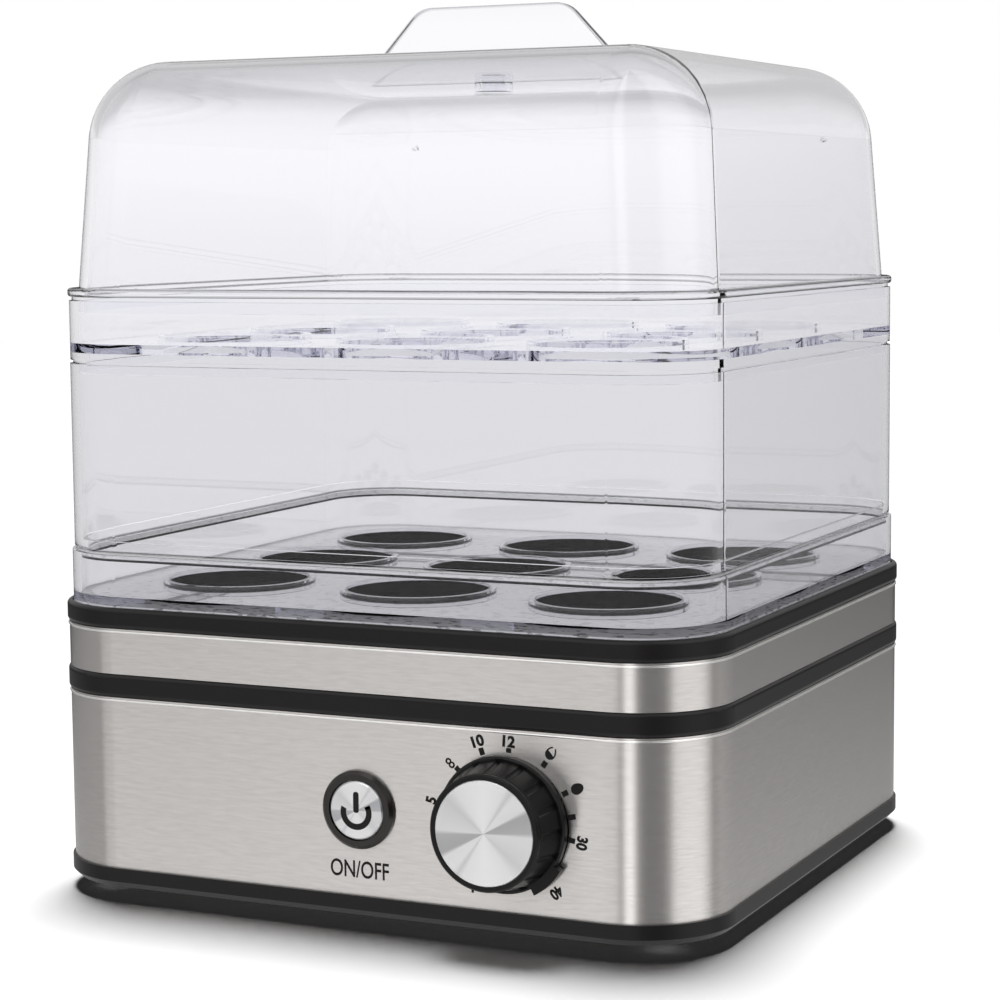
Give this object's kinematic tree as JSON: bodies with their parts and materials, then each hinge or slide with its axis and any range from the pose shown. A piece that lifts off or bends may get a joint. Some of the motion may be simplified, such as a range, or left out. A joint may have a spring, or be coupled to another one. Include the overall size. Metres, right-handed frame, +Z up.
{
  "type": "egg boiler",
  "caption": "Small table-top egg boiler: steel-wrapped heater base with timer knob and power button, under stacked clear egg trays, a clear spacer and a clear lid with a plate handle.",
  "frame": {"origin": "on the surface that the boiler stands on, under the middle of its body", "axes": "+Z up, -Y towards the front with the controls, +X to the right"},
  "size_m": [0.1792, 0.185, 0.224],
  "materials": {
    "black_moulding": "satin",
    "brushed_steel": "brushed",
    "coated_pan": "satin non-stick coating",
    "silicone": "matte",
    "foot_rubber": "matte",
    "zinc_steel": "zinc plated",
    "plate_aluminium": "cast",
    "element_steel": "oxidised",
    "ceramic": "matte",
    "phenolic": "matte",
    "nylon": "matte",
    "gloss_black": "gloss",
    "silver_cap": "silver paint",
    "knob_black": "satin",
    "spun_aluminium": "spun",
    "clear_plastic": "clear"
  },
  "bodies": {
    "base": {"base_plate": "black_moulding", "feet": "foot_rubber", "base_screws": "zinc_steel", "lower_steel_sleeve": "brushed_steel", "middle_ring": "black_moulding", "upper_steel_band": "brushed_steel", "top_housing": "black_moulding", "heating_pan": "coated_pan", "pan_seal": "silicone", "pan_nuts": "zinc_steel", "heat_plate": "plate_aluminium", "heating_element": "element_steel", "element_terminals": "ceramic", "thermostat": "phenolic", "thermal_fuse": "plate_aluminium", "fuse_clamp": "zinc_steel", "control_bracket": "zinc_steel", "bracket_screws": "zinc_steel", "timer_case": "nylon", "timer_bell": "zinc_steel", "power_button_bezel": "gloss_black", "push_switch": "nylon", "cord_inlet": "black_moulding", "terminal_block": "nylon"},
    "knob": {"knob_body": "knob_black", "timer_shaft": "zinc_steel", "knob_cap": "spun_aluminium"},
    "power_button": {"power_button": "silver_cap"},
    "lower_tray": {"lower_egg_tray": "clear_plastic"},
    "spacer": {"spacer_ring": "clear_plastic"},
    "upper_tray": {"upper_egg_tray": "clear_plastic"},
    "lid": {"lid_shell": "clear_plastic", "lid_handle": "clear_plastic", "handle_washer": "clear_plastic"}
  },
  "joints": [
    {"name": "knob_turn", "type": "hinge", "parent": "base", "child": "knob", "pos_m": [0.0411, -0.08575, 0.0295], "axis": [0, 1, 0], "range_deg": [-290.5, 0]},
    {"name": "button_press", "type": "slide", "parent": "base", "child": "power_button", "axis": [0, 1, 0], "range_m": [0, 0.0018], "stiffness_N_per_m": 600, "springref_m": -0.0015},
    {"name": "lower_tray_lift", "type": "slide", "parent": "base", "child": "lower_tray", "axis": [0, 0, 1], "range_m": [0, 0.045]},
    {"name": "spacer_lift", "type": "slide", "parent": "lower_tray", "child": "spacer", "axis": [0, 0, 1], "range_m": [0, 0.06]},
    {"name": "upper_tray_lift", "type": "slide", "parent": "spacer", "child": "upper_tray", "axis": [0, 0, 1], "range_m": [0, 0.06]},
    {"name": "lid_lift", "type": "slide", "parent": "upper_tray", "child": "lid", "axis": [0, 0, 1], "range_m": [0, 0.1]}
  ]
}
